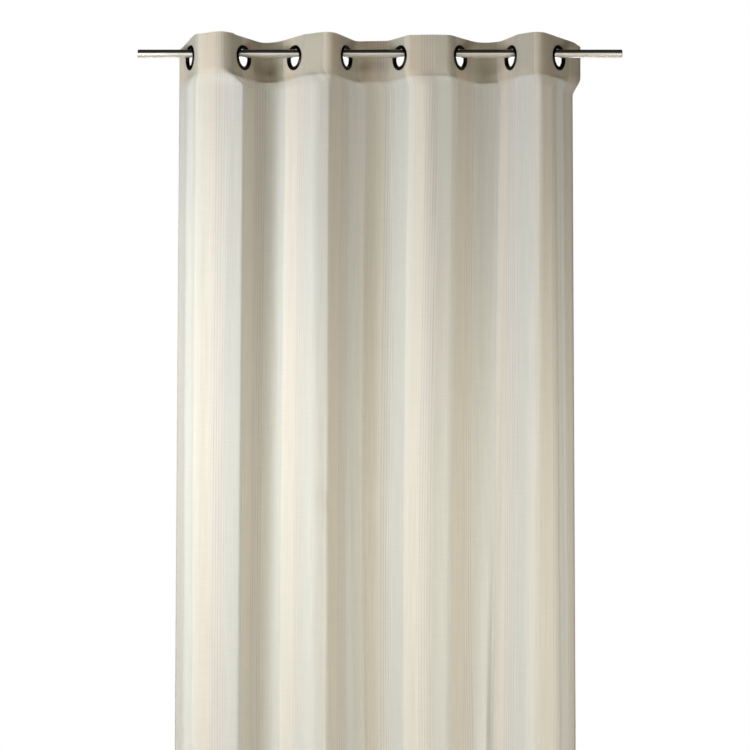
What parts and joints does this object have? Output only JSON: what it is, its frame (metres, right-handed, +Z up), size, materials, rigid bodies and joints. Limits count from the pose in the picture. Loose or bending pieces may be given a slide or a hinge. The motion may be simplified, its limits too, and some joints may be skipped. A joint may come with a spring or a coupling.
{
  "type": "sheer voile eyelet curtain with its curtain rod",
  "caption": "Sheer striped voile curtain, hung by snap eyelets in soft vertical folds from a plain round steel curtain rod.",
  "frame": {"origin": "middle of the curtain rod, on its axis", "axes": "+Z up, +X along the rod to the right as seen from the room, -Y the curtain's front, which faces the room"},
  "size_m": [1.129, 0.1596, 2.4],
  "materials": {
    "voile": "sheer plain-woven voile in cream and beige with lengthwise stripes, matt, light shows through",
    "facing": "the same voile as a second layer behind the top of the panel, denser and warmer",
    "dark_metal": "pressed brass plated dark bronze, almost black, glossy",
    "steel": "satin nickel-coloured steel tube"
  },
  "bodies": {
    "root": {"rod": "steel", "panel": "voile", "heading": "facing", "eyelet_front_1": "dark_metal", "eyelet_front_2": "dark_metal", "eyelet_front_3": "dark_metal", "eyelet_front_4": "dark_metal", "eyelet_front_5": "dark_metal", "eyelet_front_6": "dark_metal", "eyelet_front_7": "dark_metal", "eyelet_front_8": "dark_metal", "eyelet_back_1": "dark_metal", "eyelet_back_2": "dark_metal", "eyelet_back_3": "dark_metal", "eyelet_back_4": "dark_metal", "eyelet_back_5": "dark_metal", "eyelet_back_6": "dark_metal", "eyelet_back_7": "dark_metal", "eyelet_back_8": "dark_metal"}
  },
  "joints": []
}
